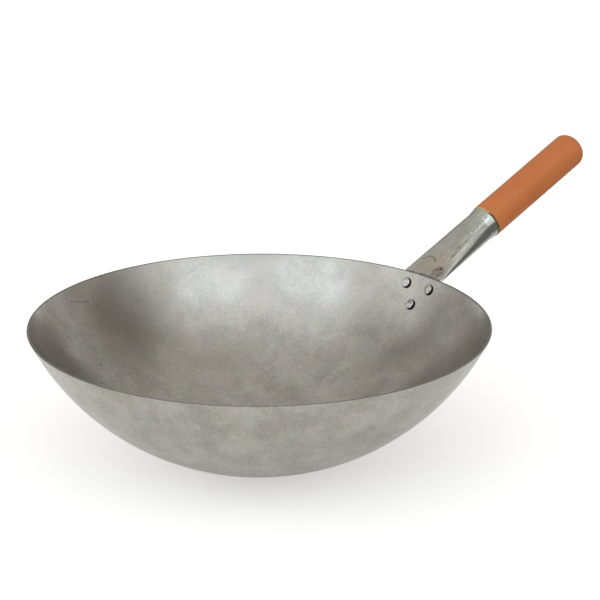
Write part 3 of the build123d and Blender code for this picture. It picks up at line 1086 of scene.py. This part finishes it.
def light_room(studio):
    """World: a grey room with soft bright and dark patches, which lights the object. The eye
    sees it white, and gloss and glass see a white band of backdrop low down. A patch's share
    is a smooth window over the angle between its azimuth and that of the direction, times
    one over the elevation."""
    world = bpy.context.scene.world = bpy.data.worlds.new("room")
    tree = new_tree(world)
    way = tree.wire("ShaderNodeTexCoord", "Generated")
    elevation = way.split()[2].math("ARCSINE")
    level = way.moved(scale=(1, 1, 0)).vector("NORMALIZE")

    def window(azimuth, half, side_fade, top, top_fade):
        toward = math.cos(math.radians(azimuth)), math.sin(math.radians(azimuth)), 0.0
        turn = level.vector("DOT_PRODUCT", toward).math("ARCCOSINE")
        return below_edge(turn, half, side_fade) * below_edge(elevation, top, top_fade)

    light = np.multiply(ROOM_COLOUR, studio.room)
    for name, azimuth, half, side_fade, low, high, end_fade, tone in ROOM_PATCHES:
        share_here = window(azimuth, half, side_fade, high, end_fade)
        share_here = share_here * above_edge(elevation, low, end_fade)
        light = tree.wire("ShaderNodeVectorMath", 0, {0: tone, "Scale": share_here},
                          operation="SCALE", label=name).vector("ADD", light)
    dark = window(*DARK_SIDE)
    light = light.vector("MAXIMUM", DARKEST).cover((dark, studio.dark_side))
    backdrop = below_edge(elevation, *BACKDROP)
    eye, gloss = eye_and_gloss(tree)
    white = eye.at_least(gloss * (backdrop - backdrop * dark))
    background = tree.wire("ShaderNodeBackground", 0, (white.blend(light, 1.0), 1.0))
    tree.add("ShaderNodeOutputWorld", {"Surface": background})


def floor_finish(studio):
    """Floor: white paint that takes the object's shadow, with a glow for the eye, gloss and
    glass that lifts it to white. In gloss it darkens to the camera's right, like a sheet that
    ends there. It is clear from below, so that it hides nothing."""
    material, tree = new_material("floor_white")
    eye, gloss = eye_and_gloss(tree)
    right = (math.cos(studio.camera_azimuth), math.sin(studio.camera_azimuth), 0.0)
    reach = tree.here().vector("DOT_PRODUCT", right)
    dark = reach.span(studio.shade_start, studio.shade_end) * gloss
    paint = tree.wire("ShaderNodeBsdfDiffuse", 0, [FLOOR_COLOUR])
    glow = tree.wire("ShaderNodeEmission", 0, (
        1.0, eye * studio.floor_glow + gloss * studio.gloss_glow))
    lit = tree.wire("ShaderNodeAddShader", 0, (paint, glow))
    end = tree.wire("ShaderNodeEmission", 0, (1.0, studio.dark_side))
    lit = tree.wire("ShaderNodeMixShader", 0, (dark, lit, end))
    under = tree.wire("ShaderNodeNewGeometry", "Backfacing")
    clear = tree.wire("ShaderNodeBsdfTransparent", 0)
    shown = tree.wire("ShaderNodeMixShader", 0, (under, lit, clear))
    tree.add("ShaderNodeOutputMaterial", {"Surface": shown})
    return material


def add_floor(studio):
    """Level floor, just under the bowl's lowest point."""
    mesh = bpy.data.meshes.new("floor")
    corners = [(x * FLOOR_REACH, y * FLOOR_REACH, -FLOOR_DROP)
               for x, y in ((-1, -1), (1, -1), (1, 1), (-1, 1))]
    mesh.from_pydata(corners, [], [(0, 1, 2, 3)])
    mesh.materials.append(floor_finish(studio))
    floor = new_object("floor", mesh)


def add_camera(settings):
    """Camera at its azimuth, elevation and distance from the middle of the rim. It first
    faces that point, with its roll, and is then swung the least way onto its aim."""
    studio = settings.studio
    middle = np.array((0.0, 0.0, settings.bowl.depth))
    turn, rise, roll = studio.camera_azimuth, studio.camera_elevation, studio.camera_roll
    right = np.array((math.cos(turn), math.sin(turn), 0.0))
    back = np.array((math.sin(turn) * math.cos(rise), -math.cos(turn) * math.cos(rise),
                     math.sin(rise)))
    right = right * math.cos(roll) - np.cross(back, right) * math.sin(roll)
    spot = middle + back * studio.camera_distance
    aim = middle + right * studio.aim_right + np.cross(back, right) * studio.aim_up
    back = unit(spot - aim)
    right = unit(right - back * (right @ back))
    lens = bpy.data.cameras.new("camera")
    lens.lens, lens.sensor_width, lens.sensor_fit = studio.camera_lens, 36.0, "HORIZONTAL"
    lens.clip_start, lens.clip_end = 0.05, 50.0
    camera = bpy.context.scene.camera = new_object("camera", lens)
    placed = np.eye(4)
    placed[:3] = np.stack((right, np.cross(back, right), back, spot), axis=1)
    camera.matrix_world = Matrix(placed.tolist())


# Operators


class WokOperator:
    """What the wok's operators share."""

    bl_options = {"REGISTER", "UNDO"}


class WOK_OT_effects(WokOperator, Operator):
    """Makes the shader effects that the finishes share"""

    bl_idname = "wok.make_effects"
    bl_label = "Shared effects"

    def execute(self, context):
        for body in (raw_sheet, scratches, specks, stroke, halo):
            make_effect(body)
        return {"FINISHED"}


class WOK_OT_bowl(WokOperator, Operator):
    """Adds the pressed steel bowl"""

    bl_idname = "wok.add_bowl"
    bl_label = "Bowl"

    def execute(self, context):
        settings = context.scene.wok
        piece = surface("bowl_sheet", *bowl_rows(settings.bowl))
        dress(piece, bowl_steel(settings), "bowl_steel", "bowl")
        return {"FINISHED"}


class WOK_OT_socket(WokOperator, Operator):
    """Adds the steel socket, from its tongue on the wall to its flared mouth"""

    bl_idname = "wok.add_socket"
    bl_label = "Handle socket"

    def execute(self, context):
        settings = context.scene.wok
        shape, where = socket_rows(settings)
        piece = surface("socket_sheet", *shape)
        keep_place(piece, "sheet", where)
        dress(piece, socket_steel(settings), "socket_steel", "handle_socket")
        return {"FINISHED"}


class WOK_OT_rivets(WokOperator, Operator):
    """Adds the three rivets through the wall and the tongue"""

    bl_idname = "wok.add_rivets"
    bl_label = "Rivets"

    def execute(self, context):
        settings = context.scene.wok
        material = rivet_steel(settings, "rivet_steel", True)
        for seed, (node, side, drop) in enumerate(rivet_places(settings.rivets)):
            shape, where = rivet_rows(settings, side, drop, seed)
            piece = surface(node + "_hammered", *shape)
            keep_place(piece, "rivet", where)
            dress(piece, material, "rivet_steel", node)
        return {"FINISHED"}


class WOK_OT_grip(WokOperator, Operator):
    """Adds the turned grip with its tenon"""

    bl_idname = "wok.add_grip"
    bl_label = "Grip"

    def execute(self, context):
        settings = context.scene.wok
        piece = surface("grip_turned", *grip_rows(settings))
        dress(piece, grip_paint(settings), "grip_wood", "grip")
        return {"FINISHED"}


class WOK_OT_nail(WokOperator, Operator):
    """Adds the nail that keeps the grip in its socket"""

    bl_idname = "wok.add_nail"
    bl_label = "Grip nail"

    def execute(self, context):
        settings = context.scene.wok
        piece = surface("nail_forged", *nail_rows(settings))
        dress(piece, rivet_steel(settings, "nail_steel", False), "rivet_steel", "grip_nail")
        return {"FINISHED"}


class WOK_OT_studio(WokOperator, Operator):
    """Adds the white floor, the room's light and the camera"""

    bl_idname = "wok.add_studio"
    bl_label = "Studio"

    def execute(self, context):
        settings = context.scene.wok
        add_floor(settings.studio)
        light_room(settings.studio)
        add_camera(settings)
        context.scene.view_settings.view_transform = "Standard"
        return {"FINISHED"}


STEPS = (WOK_OT_effects, WOK_OT_bowl, WOK_OT_socket, WOK_OT_rivets, WOK_OT_grip, WOK_OT_nail,
         WOK_OT_studio)


class WOK_PT_panel(Panel):
    """Lists the wok's steps and settings."""

    bl_label = "Wok"
    bl_idname = "WOK_PT_panel"
    bl_space_type = "VIEW_3D"
    bl_region_type = "UI"
    bl_category = "Wok"

    def draw(self, context):
        layout = self.layout
        for step in STEPS:
            layout.operator(step.bl_idname)
        settings = context.scene.wok
        for title in settings.__annotations__:
            box = layout.box()
            box.label(text=title.capitalize())
            group = getattr(settings, title)
            for name in group.__annotations__:
                box.prop(group, name)


CLASSES = (WokBowlSizes, WokHandleSizes, WokRivetSizes, WokGripSizes, WokFinishes, WokStudio,
           WokSettings, *STEPS, WOK_PT_panel)


def register():
    """Registers the classes and the scene's wok settings."""
    for each in CLASSES:
        bpy.utils.register_class(each)
    bpy.types.Scene.wok = PointerProperty(type=WokSettings)


def unregister():
    """Takes them away again."""
    del bpy.types.Scene.wok
    for each in reversed(CLASSES):
        bpy.utils.unregister_class(each)


def main():
    """Registers the add-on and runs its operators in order."""
    register()
    bpy.ops.wok.make_effects()
    bpy.ops.wok.add_bowl()
    bpy.ops.wok.add_socket()
    bpy.ops.wok.add_rivets()
    bpy.ops.wok.add_grip()
    bpy.ops.wok.add_nail()
    bpy.ops.wok.add_studio()


if __name__ == "__main__":
    main()
